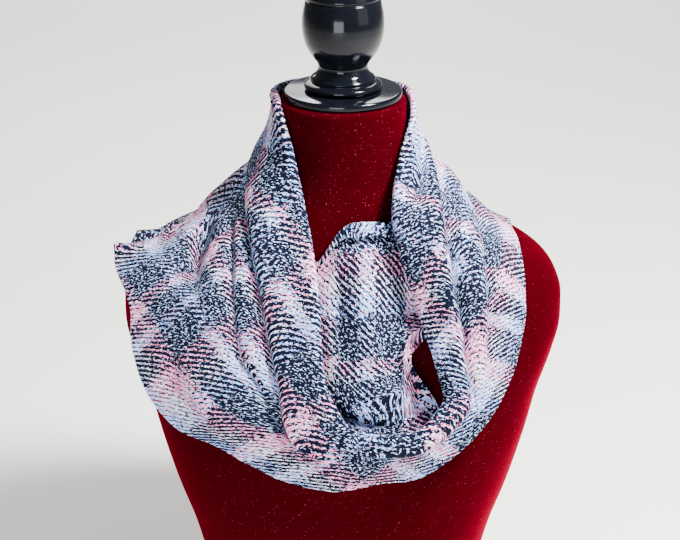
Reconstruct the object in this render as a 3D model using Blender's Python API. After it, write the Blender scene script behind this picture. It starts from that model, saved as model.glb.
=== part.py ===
# Infinity scarf, worn twice round, on a limbless dress form with a turned finial.
# Metres, +Z up, the form's front towards -Y. The origin is the middle of the form's flat underside.
# The tables are in millimetres. Their places count from the neck's axis, and their heights from the
# upper face of the neck cap, so they are negative below it.

import math

import bmesh
import bpy
import numpy as np

for old in list(bpy.data.objects):
    bpy.data.objects.remove(old, do_unlink=True)

MM = 0.001
GAP = 0.3  # between pieces that touch, mm
CAP_TOP = 470.0  # the neck cap's upper face above the table
CLOTH = 2.4  # the flat tube's two layers of brushed flannel
REST = 1.4  # the cloth's inner face above the form where it lies on it

# columns: base colour, roughness
SURFACES = {
    "velvet": ((0.068, 0.002, 0.006), 0.85),
    "black_gloss": ((0.012, 0.012, 0.013), 0.12),
    "flannel": ((0.36, 0.35, 0.52), 0.92),
}

# ---- the dress form ----

CAP_RADIUS = 49.0
CAP_THICK = 6.5
CAP_ROUND = 2.2
FORM_POWER = 2.2  # 2 is an ellipse, more is squarer
FORM_SIDES = 36

# columns: height, half width, depth in front of the neck's axis, depth behind it
FORM_SECTIONS = (
    (-6.8, 49.0, 49.0, 49.0),
    (-8.0, 51.3, 51.3, 51.3),
    (-11.0, 52.5, 52.5, 52.5),
    (-30.0, 52.3, 52.3, 52.5),
    (-52.0, 53.0, 52.8, 54.0),
    (-66.0, 55.5, 54.5, 58.0),
    (-78.0, 60.5, 57.5, 64.0),
    (-88.0, 69.0, 61.0, 69.5),
    (-97.0, 83.0, 65.0, 74.5),
    (-106.0, 102.0, 69.5, 79.0),
    (-115.0, 119.5, 74.0, 83.0),
    (-124.0, 137.5, 78.0, 86.5),
    (-134.0, 158.0, 82.0, 90.0),
    (-146.0, 173.5, 86.0, 94.0),
    (-160.0, 183.0, 90.0, 98.0),
    (-178.0, 188.5, 95.0, 102.5),
    (-200.0, 189.0, 101.0, 107.0),
    (-228.0, 183.0, 110.0, 110.5),
    (-262.0, 172.0, 120.0, 111.0),
    (-300.0, 163.0, 127.5, 108.5),
    (-345.0, 151.0, 124.0, 102.5),
    (-395.0, 135.5, 110.0, 94.5),
    (-440.0, 125.5, 99.0, 88.0),
    (-466.0, 121.5, 94.5, 85.0),
    (-470.0, 118.5, 91.5, 82.0),
)

# columns: radius, height above the neck cap
FINIAL_PROFILE = (
    (29.5, 0.3),
    (31.6, 1.6),
    (32.2, 3.6),
    (31.4, 5.6),
    (28.6, 7.0),
    (26.6, 7.4),
    (26.6, 8.6),
    (26.9, 9.8),
    (25.4, 11.6),
    (22.6, 14.0),
    (20.9, 17.0),
    (20.6, 20.4),
    (21.8, 24.4),
    (24.6, 30.6),
    (28.2, 38.4),
    (31.4, 46.6),
    (33.2, 53.4),
    (33.5, 57.6),
    (33.1, 63.0),
    (31.9, 69.0),
    (30.6, 73.6),
    (29.4, 74.6),
    (29.4, 75.8),
    (30.2, 77.0),
    (28.8, 81.6),
    (25.4, 87.2),
    (19.8, 92.4),
    (12.4, 96.2),
    (4.8, 98.0),
)
FINIAL_SIDES = 26
CAP_SIDES = 36

# ---- the scarf ----

# columns: a section's point at the rim round the neck, a third and two thirds of the way down, and at
# the hem; the first section is at the nape, and they go round by the form's right side (-X)
OUTER_SECTIONS = (
    ((0, 66, -8), (0, 77, -60), (0, 105, -130), (0, 118, -205)),
    ((-36, 54, -7), (-48, 63, -60), (-76, 92, -126), (-90, 106, -200)),
    ((-56, 24, -5), (-76, 28, -62), (-120, 46, -114), (-154, 66, -170)),
    ((-53, -21, -4), (-83, -6, -77), (-130, 4, -114), (-180, 14, -140)),
    ((-43, -39, -32), (-82, -44, -86), (-134, -44, -116), (-189, -36, -142)),
    ((-33, -57, -73), (-78, -74, -106), (-127, -74, -134), (-177, -68, -160)),
    ((-25, -84, -105), (-72, -100, -134), (-121, -100, -164), (-172, -90, -197)),
    ((-19, -112, -143), (-66, -122, -172), (-112, -120, -200), (-159, -105, -230)),
    ((-17, -128, -180), (-58, -136, -206), (-97, -133, -230), (-133, -118, -255)),
    ((-12, -138, -208), (-43, -144, -232), (-71, -141, -251), (-97, -130, -266)),
    ((2, -144, -235), (-17, -150, -248), (-36, -148, -266), (-53, -140, -287)),
    ((15, -147, -242), (7, -154, -256), (-2, -152, -275), (-10, -144, -296)),
    ((37, -147, -243), (34, -154, -255), (31, -152, -271), (28, -144, -290)),
    ((60, -142, -242), (61, -150, -252), (63, -148, -267), (64, -141, -285)),
    ((75, -132, -232), (82, -141, -239), (90, -139, -252), (97, -132, -265)),
    ((83, -121, -223), (96, -131, -222), (110, -128, -229), (122, -117, -240)),
    ((75, -112, -196), (95, -124, -192), (116, -121, -197), (139, -102, -210)),
    ((65, -101, -168), (91, -115, -161), (118, -110, -164), (148, -85, -175)),
    ((54, -93, -135), (85, -107, -127), (117, -98, -131), (149, -64, -147)),
    ((41, -79, -95), (82, -88, -94), (116, -70, -106), (147, -35, -126)),
    ((40, -62, -74), (81, -56, -77), (113, -20, -98), (144, 4, -125)),
    ((45, -42, -52), (78, -18, -62), (106, 10, -90), (141, 42, -140)),
    ((57, -15, -16), (74, 8, -56), (102, 40, -98), (131, 76, -162)),
    ((54, 27, -7), (64, 38, -58), (91, 72, -116), (112, 95, -186)),
    ((28, 57, -8), (36, 69, -60), (52, 98, -126), (62, 112, -202)),
)
INNER_SECTIONS = (
    ((0, 61, -44), (0, 64, -60), (0, 71, -78), (0, 80, -94)),
    ((-38, 47, -44), (-41, 50, -60), (-47, 56, -78), (-56, 64, -94)),
    ((-60, 5, -48), (-64, 6, -64), (-74, 7, -82), (-90, 8, -95)),
    ((-50, -38, -66), (-58, -50, -89), (-74, -66, -112), (-94, -78, -136)),
    ((-34, -72, -104), (-38, -90, -144), (-44, -105, -192), (-50, -120, -240)),
    ((-22, -83, -122), (-24, -99, -165), (-22, -114, -207), (-18, -128, -252)),
    ((-1, -76, -95), (-2, -101, -145), (-1, -119, -197), (2, -134, -256)),
    ((15, -71, -91), (20, -103, -142), (26, -121, -196), (30, -135, -256)),
    ((35, -66, -94), (44, -90, -136), (50, -108, -188), (56, -127, -247)),
    ((55, -57, -94), (68, -69, -114), (76, -86, -148), (80, -101, -188)),
    ((59, -38, -80), (75, -42, -96), (93, -58, -116), (104, -74, -135)),
    ((60, -10, -58), (67, -14, -75), (79, -18, -88), (96, -22, -98)),
    ((60, 5, -48), (64, 6, -64), (74, 7, -82), (90, 8, -95)),
    ((38, 47, -44), (41, 50, -60), (47, 56, -78), (56, 64, -94)),
)

# columns: path (places along the loop, each with its share of the way from rim to hem), depth of the
# crease, reach of its slopes towards the rim, reach towards the hem, step (how much higher the rim side
# stands), lean (how far that side comes over the crease), in mm
OUTER_FOLDS = {
    "neck_left": (
        ((1.2, 0.34), (3, 0.33), (4, 0.32), (5, 0.31), (6, 0.30), (7, 0.28), (8, 0.27), (9, 0.36),
         (10, 0.55), (11, 0.56)), 10, 8, 9, 6, 2.6),
    "pleat_left": (
        ((3.3, 0.37), (4, 0.395), (5, 0.414), (6, 0.441), (7, 0.45), (8, 0.385), (9, 0.43), (10, 0.62)),
        5.5, 5, 6, 3.5, 1.5),
    "dimple_left": (((3.2, 0.52), (4.2, 0.58), (5, 0.64), (5.8, 0.58)), 8, 12, 12, 0, 0),
    "flap_left": (((6.0, 0.78), (7, 0.786), (8, 0.78), (9.2, 0.97)), 4, 6, 10, 3.5, 1.5),
    "rim_roll": (
        ((11.1, 0.36), (12, 0.45), (13, 0.52), (14, 0.52), (15, 0.50), (16, 0.335), (18, 0.333),
         (20, 0.335), (22, 0.34), (25, 0.34), (26.4, 0.34)), 10, 8, 9, 5, 2.4),
    "pleat_right": (
        ((15.0, 0.66), (16, 0.67), (18, 0.667), (20, 0.65), (22, 0.64), (25.8, 0.62)),
        7, 7, 8, 3, 1.5),
    "pleat_nape": (((23.4, 0.86), (24.6, 0.80), (25.6, 0.72), (26.8, 0.66), (28.2, 0.70)), 7, 8, 9, 4, 1.5),
    "notch_right": (((19.4, 0.12), (20, 0.14), (21, 0.20), (22.4, 0.24)), 6, 7, 7, 0, 0),
}
INNER_FOLDS = {
    "hollow_right": (((6.6, 0.98), (7.3, 0.74), (8.0, 0.56), (9.4, 0.40)), 9, 14, 9, 3, 1.5),
}
# folds that run from rim to hem; columns: path (shares of the way, each with its place along the
# loop), height (a valley is negative), reach of the slope before, reach after, in mm
OUTER_WAVES = {
    "shoulder_peak_back": (((0.66, 3.1), (1, 2.98)), 8, 7, 6),
    "shoulder_valley": (((0.66, 3.35), (1, 3.25)), -6, 6, 6),
    "shoulder_peak_front": (((0.66, 3.62), (1, 3.58)), 9, 6, 8),
    "back_left": (((0.45, 1.7), (1, 1.5)), -8, 14, 10),
    "back_right": (((0.45, 23.4), (1, 23.6)), -7, 10, 14),
    "hem_left": (((0.72, 5.6), (1, 5.3)), -4, 9, 9),
}
INNER_WAVES = {
    "panel_edge": (((0.1, 5.98), (0.7, 5.9)), -5, 7, 5),
    "panel_recess": (((0.2, 8.3), (0.5, 8.25), (0.8, 8.1)), -9, 10, 10),
}

# columns: place along the loop, radius of the rolled rim, length of the lip turned in behind it
OUTER_ROLL = (
    (0, 3.0, 5), (2, 2.4, 3), (3, 2.0, 2), (4, 2.2, 2), (5, 3.4, 5), (9, 4, 6), (11, 4.6, 4),
    (15, 4.4, 3), (18, 4, 5), (20, 3.4, 3), (21, 2.6, 3), (22, 2.0, 2), (23, 2.2, 2), (25, 3.0, 5),
)
INNER_ROLL = ((0, 2.2, 1), (5.6, 2.2, 1), (6.4, 3.8, 11), (8.0, 3.4, 10), (8.7, 2.4, 1), (14, 2.2, 1))

# One round of the scarf: its sections, folds and rolled rim, which turns in (1) or out (-1)
OUTER_LOOP = {
    "sections": OUTER_SECTIONS, "folds": OUTER_FOLDS, "waves": OUTER_WAVES, "roll": OUTER_ROLL,
    "rolls_in": 1,
}
INNER_LOOP = {
    "sections": INNER_SECTIONS, "folds": INNER_FOLDS, "waves": INNER_WAVES, "roll": INNER_ROLL,
    "rolls_in": -1,
}
# columns: name, first place along the loop, last place, rows of points for each place
OUTER_STRETCHES = (
    ("scarf_back_left", 0, 3, 6), ("scarf_left", 3, 11, 4), ("scarf_right", 11, 21, 3),
    ("scarf_back_right", 21, 25, 3),
)
INNER_STRETCHES = (("inner_front", 2, 11, 4), ("inner_back", 11, 16, 3))
# the crease lines that the points gather at; columns: place, then a share from rim to hem for each line
OUTER_LINES = (
    (0, 0.34, 0.62, 0.82), (1.5, 0.34, 0.55, 0.78), (3, 0.33, 0.42, 0.60), (4, 0.32, 0.395, 0.58),
    (5, 0.31, 0.414, 0.64), (6, 0.30, 0.441, 0.78), (7, 0.28, 0.45, 0.786), (8, 0.27, 0.385, 0.78),
    (9, 0.36, 0.48, 0.93), (10, 0.52, 0.64, 0.86), (11, 0.44, 0.68, 0.86), (12, 0.45, 0.66, 0.84),
    (13, 0.52, 0.70, 0.86), (14, 0.52, 0.66, 0.84), (15, 0.50, 0.64, 0.84), (16, 0.335, 0.67, 0.85),
    (18, 0.333, 0.667, 0.85), (20, 0.335, 0.65, 0.84), (22, 0.34, 0.64, 0.82), (25, 0.34, 0.62, 0.82),
)
INNER_LINES = ((0, 0.55), (5.5, 0.6), (6.6, 0.9), (7.3, 0.74), (8.0, 0.56), (9.4, 0.40), (10.2, 0.6),
               (14, 0.55))
OUTER_STEPS = (5, 4, 5, 4)  # columns of points from rim to hem, between those lines
INNER_STEPS = (6, 6)
FINE_ROWS = 24  # rows worked out for each place; a stretch keeps every few of them
FADE = 1.1  # how far along the loop a fold takes to fade out
EDGE = 2.2  # how sharply the rim side of a crease drops
CREASE_ROUND = 1.0  # how rounded the bottom of a crease is
WIDE = 95.0  # where the band is narrower than this, its creases are shallower in proportion
ROLL_ANGLES = (180, 135, 90, 45)


def hermite(knots, values, at):
    """A smooth curve through the values that never swings past them."""
    knots = np.asarray(knots, float)
    values = np.asarray(values, float)
    step = np.diff(knots)
    slope = np.diff(values) / step
    tangent = np.zeros(len(knots))
    same = slope[:-1] * slope[1:] > 0
    weight_a = 2 * step[1:] + step[:-1]
    weight_b = step[1:] + 2 * step[:-1]
    with np.errstate(divide="ignore", invalid="ignore"):
        mean = (weight_a + weight_b) / (weight_a / slope[:-1] + weight_b / slope[1:])
    tangent[1:-1] = np.where(same, mean, 0.0)
    tangent[0], tangent[-1] = slope[0], slope[-1]
    at = np.clip(at, knots[0], knots[-1])
    i = np.clip(np.searchsorted(knots, at, side="right") - 1, 0, len(step) - 1)
    f = (at - knots[i]) / step[i]
    return (
        (1 + 2 * f) * (1 - f) ** 2 * values[i]
        + f * (1 - f) ** 2 * step[i] * tangent[i]
        + f * f * (3 - 2 * f) * values[i + 1]
        + f * f * (f - 1) * step[i] * tangent[i + 1]
    )


FORM_TABLE = np.array(FORM_SECTIONS)[::-1]


def form_section(height):
    return [hermite(FORM_TABLE[:, 0], FORM_TABLE[:, column], height) for column in (1, 2, 3)]


def form_level(points):
    """1 on the form's surface, more outside it."""
    width, front, back = form_section(points[..., 2])
    depth = np.where(points[..., 1] < 0, front, back)
    ratio = (np.abs(points[..., 0]) / width) ** FORM_POWER
    ratio = ratio + (np.abs(points[..., 1]) / depth) ** FORM_POWER
    return ratio ** (1 / FORM_POWER)


def clear_of_form(points, distance, rounds=5):
    """Moves each point that is nearer the form than the distance straight out to it."""
    points = points.copy()
    probe = 0.5
    for _ in range(rounds):
        level = form_level(points)
        gradient = np.empty_like(points)
        for axis in range(3):
            offset = np.zeros(3)
            offset[axis] = probe
            change = form_level(points + offset) - form_level(points - offset)
            gradient[..., axis] = change / (2 * probe)
        steepness = np.linalg.norm(gradient, axis=-1)
        short = np.maximum(distance - (level - 1) / steepness, 0)
        points += gradient / steepness[..., None] * short[..., None]
    return points


def along(rows, t):
    """The control points of the sections at the places t along the closed loop."""
    table = np.array(rows, float)
    count = len(table)
    i = np.floor(t).astype(int)
    f = (t - i)[:, None, None]
    before, this, following, after = (table[(i + k) % count] for k in (-1, 0, 1, 2))
    return 0.5 * (
        2 * this
        + (following - before) * f
        + (2 * before - 5 * this + 4 * following - after) * f ** 2
        + (3 * this - before - 3 * following + after) * f ** 3
    )


def across(control, s):
    """Points on each section's curve, at a row of shares of the way from rim to hem."""
    knots = (0.0, 1 / 3, 2 / 3, 1.0)
    total = 0
    for k, knot in enumerate(knots):
        weight = np.ones_like(s)
        for other in knots:
            if other != knot:
                weight = weight * (s - other) / (knot - other)
        total = total + weight[..., None] * control[:, k][:, None, :]
    return total


def unit(vectors):
    return vectors / np.linalg.norm(vectors, axis=-1, keepdims=True)


def smooth_step(value):
    value = np.clip(value, 0, 1)
    return value * value * (3 - 2 * value)


def fade_ends(value, first, last, width):
    """0 at the ends of a range and 1 inside it; an end at 0 or 1 exactly doesn't fade."""
    rise = 1 if first == 0 else smooth_step((value - first) / width)
    fall = 1 if last == 1 else smooth_step((last - value) / width)
    return rise * fall


def rounded(distance):
    """The size of a distance, without a sharp turn at zero."""
    return np.sqrt(distance ** 2 + CREASE_ROUND ** 2) - CREASE_ROUND


def fold_line(path, t):
    """The fold's share of the way from rim to hem at each place along the loop."""
    return hermite([place for place, _ in path], [share for _, share in path], t)


def fold_shift(folds, t, s, length, count):
    """How far each point is lifted off the base form, and moved towards the hem."""
    lift = np.zeros(s.shape)
    shift = np.zeros(s.shape)
    room = np.clip(length / WIDE, 0.35, 1)[:, None]
    for path, depth, rim_reach, hem_reach, step, lean in folds.values():
        for turn in (0, count):
            at = t + turn
            fade = fade_ends(at, path[0][0], path[-1][0], FADE)
            q = (s - fold_line(path, at)[:, None]) * length[:, None]
            slope = np.exp(-rounded(q) / np.where(q < 0, rim_reach, hem_reach))
            edge = (0.5 - 0.5 * np.tanh(q / EDGE)) * np.exp(np.minimum(q, 0) / (2.2 * rim_reach))
            lift += (step * edge - depth * slope) * fade[:, None] * room
            shift += lean * edge * fade[:, None] * room
    return lift, shift


def wave_shift(waves, t, s, pace, count):
    """The lift of the folds that run from rim to hem."""
    lift = np.zeros(s.shape)
    for path, height, before, after in waves.values():
        shares = [share for share, _ in path]
        centre = hermite(shares, [place for _, place in path], s)
        fade = fade_ends(s, shares[0], shares[-1], 0.22)
        for turn in (0, count):
            q = (t[:, None] + turn - centre) * pace
            lift += height * fade * np.exp(-rounded(q) / np.where(q < 0, before, after))
    return lift


def gathered_columns(table, steps, t, count):
    """Shares from rim to hem for each place, close together at the crease lines."""
    table = np.array(table, float)
    at = np.mod(t, count)
    lines = [np.zeros(len(t))]
    lines += [hermite(table[:, 0], table[:, k], at) for k in range(1, table.shape[1])]
    lines.append(np.ones(len(t)))
    columns = [lines[0][:, None]]
    for before, after, number in zip(lines, lines[1:], steps):
        for k in range(1, number + 1):
            share = k / number - 0.07 * math.sin(2 * math.pi * k / number)
            columns.append((before + (after - before) * share)[:, None])
    return np.concatenate(columns, axis=1)


def facing(grid):
    """Unit normals of a grid of points, rows along the loop and columns from rim to hem."""
    return unit(np.cross(np.gradient(grid, axis=1), np.gradient(grid, axis=0)))


def roll_size(table, t, count):
    """The rolled rim's radius and the lip's length at each place along the loop."""
    table = np.array(table, float)
    places = np.concatenate((table[:, 0] - count, table[:, 0], table[:, 0] + count))
    return [np.interp(t, places, np.tile(table[:, k], 3)) for k in (1, 2)]


def loop_grid(loop, t, s):
    """The middle surface of a whole round, as points and unit normals.

    The columns are the lip, the rolled rim and the wall to the hem.
    """
    count = len(loop["sections"])
    wall = across(along(loop["sections"], t), s)
    normal = facing(wall)
    down = unit(np.gradient(wall, axis=1))
    length = np.linalg.norm(np.diff(wall, axis=1), axis=2).sum(axis=1)
    pace = np.linalg.norm(np.gradient(wall, t, axis=0), axis=2)
    lift, shift = fold_shift(loop["folds"], t, s, length, count)
    lift += wave_shift(loop["waves"], t, s, pace, count)
    radius, lip = (value[:, None, None] for value in roll_size(loop["roll"], t, count))
    travel = (s * length[:, None])[..., None]
    ease = np.exp(-(travel / (3 * radius)) ** 2)
    edge = unit(np.gradient(wall[:, 0], axis=0))[:, None]
    out = loop["rolls_in"] * normal[:, :1]
    along_wall = unit(down[:, :1] - edge * (down[:, :1] * edge).sum(axis=2, keepdims=True))
    wall = wall + normal * lift[..., None] + down * shift[..., None]
    wall = wall + ease * radius * (out + along_wall)
    centre = wall[:, :1] - out * radius
    rim = []
    for angle in np.radians(ROLL_ANGLES):
        rim.append(centre + radius * (out * math.cos(angle) - along_wall * math.sin(angle)))
    grid = np.concatenate([rim[0] + along_wall * lip] + rim + [wall], axis=1)
    grid = clear_of_form(grid, REST + CLOTH / 2)
    turned = facing(grid)
    flat = grid.shape[1] - wall.shape[1]
    calm = 0.6 * smooth_step(travel / (4 * radius))
    turned[:, flat:] = unit(turned[:, flat:] * (1 - calm) + normal * calm)
    return grid, turned


def wall_mesh(name, grid, thickness, normal):
    """A closed wall of even thickness round a grid of middle points."""
    rows, columns = grid.shape[:2]
    outer = grid + normal * thickness / 2
    inner = grid - normal * thickness / 2
    points = np.concatenate((outer.reshape(-1, 3), inner.reshape(-1, 3)))
    mesh = bmesh.new()
    corners = [mesh.verts.new(((x * MM), (y * MM), (z + CAP_TOP) * MM)) for x, y, z in points]
    half = rows * columns

    def corner(i, j, side):
        return corners[side * half + i * columns + j]

    for i in range(rows - 1):
        for j in range(columns - 1):
            ring = ((i, j), (i, j + 1), (i + 1, j + 1), (i + 1, j))
            mesh.faces.new([corner(a, b, 0) for a, b in ring])
            mesh.faces.new([corner(a, b, 1) for a, b in reversed(ring)])
    for i in range(rows - 1):
        mesh.faces.new([corner(i, 0, 1), corner(i, 0, 0), corner(i + 1, 0, 0), corner(i + 1, 0, 1)])
        last = columns - 1
        mesh.faces.new(
            [corner(i + 1, last, 1), corner(i + 1, last, 0), corner(i, last, 0), corner(i, last, 1)]
        )
    for j in range(columns - 1):
        last = rows - 1
        mesh.faces.new([corner(0, j + 1, 1), corner(0, j + 1, 0), corner(0, j, 0), corner(0, j, 1)])
        mesh.faces.new(
            [corner(last, j, 1), corner(last, j, 0), corner(last, j + 1, 0), corner(last, j + 1, 1)]
        )
    return finished(name, mesh, "flannel", 60.0)


def finished(name, mesh, surface, smooth_angle):
    bmesh.ops.recalc_face_normals(mesh, faces=mesh.faces)
    data = bpy.data.meshes.new(name)
    mesh.to_mesh(data)
    mesh.free()
    data.shade_smooth()
    data.set_sharp_from_angle(angle=math.radians(smooth_angle))
    colour, roughness = SURFACES[surface]
    material = bpy.data.materials.new(f"{name}_{surface}")
    material.use_nodes = True
    shader = material.node_tree.nodes["Principled BSDF"]
    shader.inputs["Base Color"].default_value = (*colour, 1.0)
    shader.inputs["Roughness"].default_value = roughness
    shader.inputs["Metallic"].default_value = 0.0
    data.materials.append(material)
    piece = bpy.data.objects.new(name, data)
    bpy.context.scene.collection.objects.link(piece)
    return piece


def ring_solid(name, rings, surface):
    """A closed solid through rings of points, with a flat face at each end."""
    mesh = bmesh.new()
    loops = [[mesh.verts.new((x * MM, y * MM, (z + CAP_TOP) * MM)) for x, y, z in ring] for ring in rings]
    for lower, upper in zip(loops, loops[1:]):
        for k in range(len(lower)):
            after = (k + 1) % len(lower)
            mesh.faces.new((lower[k], lower[after], upper[after], upper[k]))
    mesh.faces.new(list(reversed(loops[0])))
    mesh.faces.new(loops[-1])
    return finished(name, mesh, surface, 40.0)


def turned_solid(name, profile, sides):
    angles = [2 * math.pi * k / sides for k in range(sides)]
    rings = [[(r * math.cos(a), r * math.sin(a), z) for a in angles] for r, z in profile]
    return ring_solid(name, rings, "black_gloss")


def power_point(angle, width, front, back):
    """A point on a section that is squarer than an ellipse."""
    c, s = math.cos(angle), math.sin(angle)
    depth = front if s < 0 else back
    share = 2 / FORM_POWER
    return math.copysign(abs(c) ** share, c) * width, math.copysign(abs(s) ** share, s) * depth


def build_form():
    rings = []
    for height, width, front, back in reversed(FORM_SECTIONS):
        ring = []
        for k in range(FORM_SIDES):
            x, y = power_point(2 * math.pi * k / FORM_SIDES, width, front, back)
            ring.append((x, y, height))
        rings.append(ring)
    return ring_solid("form_torso", rings, "velvet")


def build_cap():
    profile = []
    for height, lift in ((-CAP_THICK + CAP_ROUND, -1), (-CAP_ROUND, 1)):
        for k in range(4):
            angle = math.radians(30 * k) if lift > 0 else math.radians(90 - 30 * k)
            across_edge = CAP_RADIUS - CAP_ROUND + CAP_ROUND * math.cos(angle)
            profile.append((across_edge, height + lift * CAP_ROUND * math.sin(angle)))
    return turned_solid("neck_cap", profile, CAP_SIDES)


def build_finial():
    return turned_solid("finial", FINIAL_PROFILE, FINIAL_SIDES)


def build_loop(loop, stretches, lines, columns):
    count = len(loop["sections"])
    t = np.arange(-FINE_ROWS, (count + 4) * FINE_ROWS + 1) / FINE_ROWS
    grid, normal = loop_grid(loop, t, gathered_columns(lines, columns, t, count))
    forward = unit(np.gradient(grid, axis=0))
    for name, first, last, rows in stretches:
        keep = np.arange((first + 1) * FINE_ROWS, (last + 1) * FINE_ROWS + 1, FINE_ROWS / rows).astype(int)
        points = grid[keep].copy()
        points[0] += forward[keep[0]] * GAP / 2
        points[-1] -= forward[keep[-1]] * GAP / 2
        wall_mesh(name, points, CLOTH, normal[keep])


build_form()
build_cap()
build_finial()
build_loop(OUTER_LOOP, OUTER_STRETCHES, OUTER_LINES, OUTER_STEPS)
build_loop(INNER_LOOP, INNER_STRETCHES, INNER_LINES, INNER_STEPS)
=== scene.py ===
# Infinity scarf of printed flannel, worn twice round, on a velvet dress form with a turned finial.
# Metres, +Z up, the form's front towards -Y. The scarf's and form's tables are in millimetres:
# places count from the neck's axis, heights from the upper face of the neck cap.

import math

import bmesh
import bpy
import numpy as np
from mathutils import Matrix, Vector, noise


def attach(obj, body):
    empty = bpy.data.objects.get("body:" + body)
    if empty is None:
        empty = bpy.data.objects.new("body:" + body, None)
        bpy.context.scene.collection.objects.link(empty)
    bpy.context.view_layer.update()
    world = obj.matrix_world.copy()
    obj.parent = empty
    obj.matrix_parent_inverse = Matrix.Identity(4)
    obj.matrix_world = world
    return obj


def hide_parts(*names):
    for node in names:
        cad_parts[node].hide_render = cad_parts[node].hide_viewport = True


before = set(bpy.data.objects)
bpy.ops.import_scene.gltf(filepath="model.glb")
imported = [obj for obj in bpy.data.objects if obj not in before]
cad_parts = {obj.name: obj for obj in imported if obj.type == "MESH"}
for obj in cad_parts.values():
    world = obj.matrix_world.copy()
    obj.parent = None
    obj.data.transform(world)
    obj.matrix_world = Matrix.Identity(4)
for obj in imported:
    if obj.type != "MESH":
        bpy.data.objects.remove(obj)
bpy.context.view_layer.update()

mm = 0.001
capHeight = 470.0  # the cap's upper face above the table
sharpAngle = 50  # degrees: hard parts have a sharp edge where they turn more than this


# ---- camera, floor and light ----

studio = {
    "lens": 82.06,
    "sensorWidth": 36.0,
    "cameraPlace": (-0.0025, -1.2339, 0.8313),
    "cameraPitch": 67.0,
    "floorColour": (0.88, 0.86, 0.80),
    "floorRoughness": 0.8,
    "floorReach": 9.0,
    "skyColour": (0.93, 0.95, 1.0),
    "skyStrength": 0.28,
}
# name, place, aimed at, size, power, colour
studioLamps = (
    ("keyRight", (0.78, -0.34, 1.55), (0.0, -0.05, 0.28), 0.35, 137.0, (0.94, 0.97, 1.0)),
    ("windowLow", (-0.4, -1.9, 0.25), (-0.02, -0.1, 0.20), 0.9, 34.0, (0.88, 0.92, 1.0)),
    ("fillRight", (1.8, -1.1, 0.9), (0.0, 0.0, 0.30), 1.2, 9.0, (0.95, 0.97, 1.0)),
    ("floorWash", (0.0, 3.2, 2.4), (0.0, 3.0, 0.0), 2.0, 150.0, (1.0, 1.0, 0.99)),
    ("rimBack", (-0.4, 1.5, 1.3), (0.0, 0.0, 0.40), 1.0, 14.0, (1.0, 1.0, 1.0)),
)


def addToScene(name, data):
    piece = bpy.data.objects.new(name, data)
    bpy.context.scene.collection.objects.link(piece)
    return piece


def buildStudio():
    camera = addToScene("viewCamera", bpy.data.cameras.new("viewCamera"))
    camera.data.sensor_width = studio["sensorWidth"]
    camera.data.lens = studio["lens"]
    camera.location = studio["cameraPlace"]
    camera.rotation_euler = (math.radians(studio["cameraPitch"]), 0.0, 0.0)
    bpy.context.scene.camera = camera
    for name, place, target, size, power, colour in studioLamps:
        lamp = addToScene(name, bpy.data.lights.new(name, "AREA"))
        lamp.data.size = size
        lamp.data.energy = power
        lamp.data.color = colour
        lamp.location = place
        aim = Vector(target) - Vector(place)
        lamp.rotation_euler = aim.to_track_quat("-Z", "Y").to_euler()
    world = bpy.data.worlds.new("softRoom")
    world.use_nodes = True
    sky = world.node_tree.nodes["Background"]
    sky.inputs["Color"].default_value = (*studio["skyColour"], 1.0)
    sky.inputs["Strength"].default_value = studio["skyStrength"]
    bpy.context.scene.world = world
    mesh = bpy.data.meshes.new("tableTop")
    far = studio["floorReach"]
    corners = [(-far, -far, 0), (far, -far, 0), (far, far, 0), (-far, far, 0)]
    mesh.from_pydata(corners, [], [(0, 1, 2, 3)])
    floor = addToScene("tableTop", mesh)
    paint = bpy.data.materials.new("paleFloor")
    paint.use_nodes = True
    shader = paint.node_tree.nodes["Principled BSDF"]
    shader.inputs["Base Color"].default_value = (*studio["floorColour"], 1.0)
    shader.inputs["Roughness"].default_value = studio["floorRoughness"]
    mesh.materials.append(paint)


buildStudio()
print("camera, floor and lamps are in place")


# ---- curves and meshes that several pieces use ----

def unit(vectors):
    return vectors / np.linalg.norm(vectors, axis=-1, keepdims=True)


def smoothStep(value):
    value = np.clip(value, 0, 1)
    return value * value * (3 - 2 * value)


def easedCurve(knots, values, at):
    # a smooth curve through the values that never swings past them
    knots = np.asarray(knots, float)
    values = np.asarray(values, float)
    step = np.diff(knots)
    slope = np.diff(values) / step
    tangent = np.zeros(len(knots))
    same = slope[:-1] * slope[1:] > 0
    weightA = 2 * step[1:] + step[:-1]
    weightB = step[1:] + 2 * step[:-1]
    with np.errstate(divide="ignore", invalid="ignore"):
        mean = (weightA + weightB) / (weightA / slope[:-1] + weightB / slope[1:])
    tangent[1:-1] = np.where(same, mean, 0.0)
    tangent[0], tangent[-1] = slope[0], slope[-1]
    at = np.clip(at, knots[0], knots[-1])
    i = np.clip(np.searchsorted(knots, at, side="right") - 1, 0, len(step) - 1)
    f = (at - knots[i]) / step[i]
    return (
        (1 + 2 * f) * (1 - f) ** 2 * values[i]
        + f * (1 - f) ** 2 * step[i] * tangent[i]
        + f * f * (3 - 2 * f) * values[i + 1]
        + f * f * (f - 1) * step[i] * tangent[i + 1]
    )


def throughRows(rows, t, closed=True):
    # the rows of a table at the places t, by a curve through every row
    table = np.array(rows, float)
    count = len(table)
    t = t if closed else np.clip(t, 0, count - 1.000001)
    i = np.floor(t).astype(int)
    f = (t - i).reshape((-1,) + (1,) * (table.ndim - 1))
    if closed:
        before, this, following, after = (table[(i + k) % count] for k in (-1, 0, 1, 2))
    else:
        before, this, following, after = (
            table[np.clip(i + k, 0, count - 1)] for k in (-1, 0, 1, 2))
    return 0.5 * (
        2 * this
        + (following - before) * f
        + (2 * before - 5 * this + 4 * following - after) * f ** 2
        + (3 * this - before - 3 * following + after) * f ** 3
    )


def roundPlaces(points):
    # millimetres from the cap to metres in the part's frame
    return [(x * mm, y * mm, (z + capHeight) * mm) for x, y, z in points]


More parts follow.
